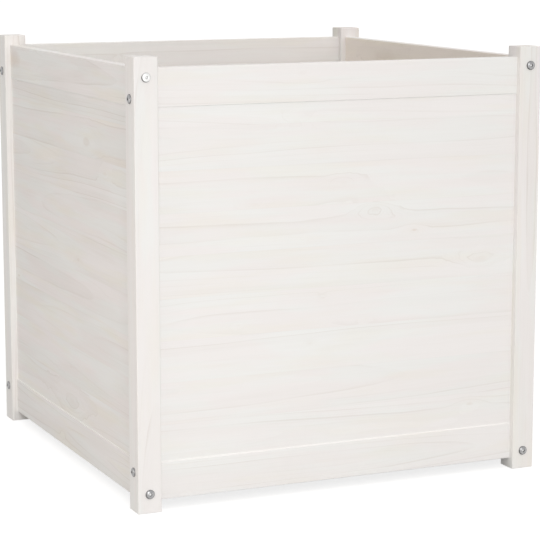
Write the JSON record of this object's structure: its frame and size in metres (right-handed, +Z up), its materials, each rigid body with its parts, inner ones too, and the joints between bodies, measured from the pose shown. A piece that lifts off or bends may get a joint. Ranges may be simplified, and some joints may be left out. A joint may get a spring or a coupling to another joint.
{
  "type": "planter box",
  "caption": "Square white-washed pine planter box: posts at the corners, framed panels on all sides, bolted joints, slatted floor, open top.",
  "frame": {"origin": "on the ground under the middle of the box", "axes": "+Z up; the front faces -Y; +X to the right as seen from the front"},
  "size_m": [0.6058, 0.6058, 0.6],
  "materials": {
    "post_wood": "semi-opaque white wash on pine, grain upright, satin",
    "rail_wood": "semi-opaque white wash on pine, grain along the rail, satin",
    "panel_wood": "semi-opaque white wash on edge-glued pine, grain level, faint pink and yellow streaks and a few knots, satin",
    "floor_wood": "bare sawn pine",
    "bolt_steel": "zinc-plated steel, semi-bright",
    "insert_steel": "zinc-plated steel, dull",
    "screw_steel": "yellow-passivated steel"
  },
  "bodies": {
    "root": {"back_bottom_rail": "rail_wood", "back_left_post": "post_wood", "back_panel": "panel_wood", "back_right_post": "post_wood", "back_top_rail": "rail_wood", "bolt_back_bottom_left": "bolt_steel", "bolt_back_bottom_right": "bolt_steel", "bolt_back_top_left": "bolt_steel", "bolt_back_top_right": "bolt_steel", "bolt_front_bottom_left": "bolt_steel", "bolt_front_bottom_right": "bolt_steel", "bolt_front_top_left": "bolt_steel", "bolt_front_top_right": "bolt_steel", "bolt_left_bottom_back": "bolt_steel", "bolt_left_bottom_front": "bolt_steel", "bolt_left_top_back": "bolt_steel", "bolt_left_top_front": "bolt_steel", "bolt_right_bottom_back": "bolt_steel", "bolt_right_bottom_front": "bolt_steel", "bolt_right_top_back": "bolt_steel", "bolt_right_top_front": "bolt_steel", "floor_slat_1": "floor_wood", "floor_slat_2": "floor_wood", "floor_slat_3": "floor_wood", "floor_slat_4": "floor_wood", "floor_slat_5": "floor_wood", "floor_slat_6": "floor_wood", "front_bottom_rail": "rail_wood", "front_left_post": "post_wood", "front_panel": "panel_wood", "front_right_post": "post_wood", "front_top_rail": "rail_wood", "insert_back_bottom_left": "insert_steel", "insert_back_bottom_right": "insert_steel", "insert_back_top_left": "insert_steel", "insert_back_top_right": "insert_steel", "insert_front_bottom_left": "insert_steel", "insert_front_bottom_right": "insert_steel", "insert_front_top_left": "insert_steel", "insert_front_top_right": "insert_steel", "insert_left_bottom_back": "insert_steel", "insert_left_bottom_front": "insert_steel", "insert_left_top_back": "insert_steel", "insert_left_top_front": "insert_steel", "insert_right_bottom_back": "insert_steel", "insert_right_bottom_front": "insert_steel", "insert_right_top_back": "insert_steel", "insert_right_top_front": "insert_steel", "left_bottom_rail": "rail_wood", "left_floor_bearer": "floor_wood", "left_panel": "panel_wood", "left_top_rail": "rail_wood", "right_bottom_rail": "rail_wood", "right_floor_bearer": "floor_wood", "right_panel": "panel_wood", "right_top_rail": "rail_wood", "screw_left_back": "screw_steel", "screw_left_front": "screw_steel", "screw_right_back": "screw_steel", "screw_right_front": "screw_steel"}
  },
  "joints": []
}
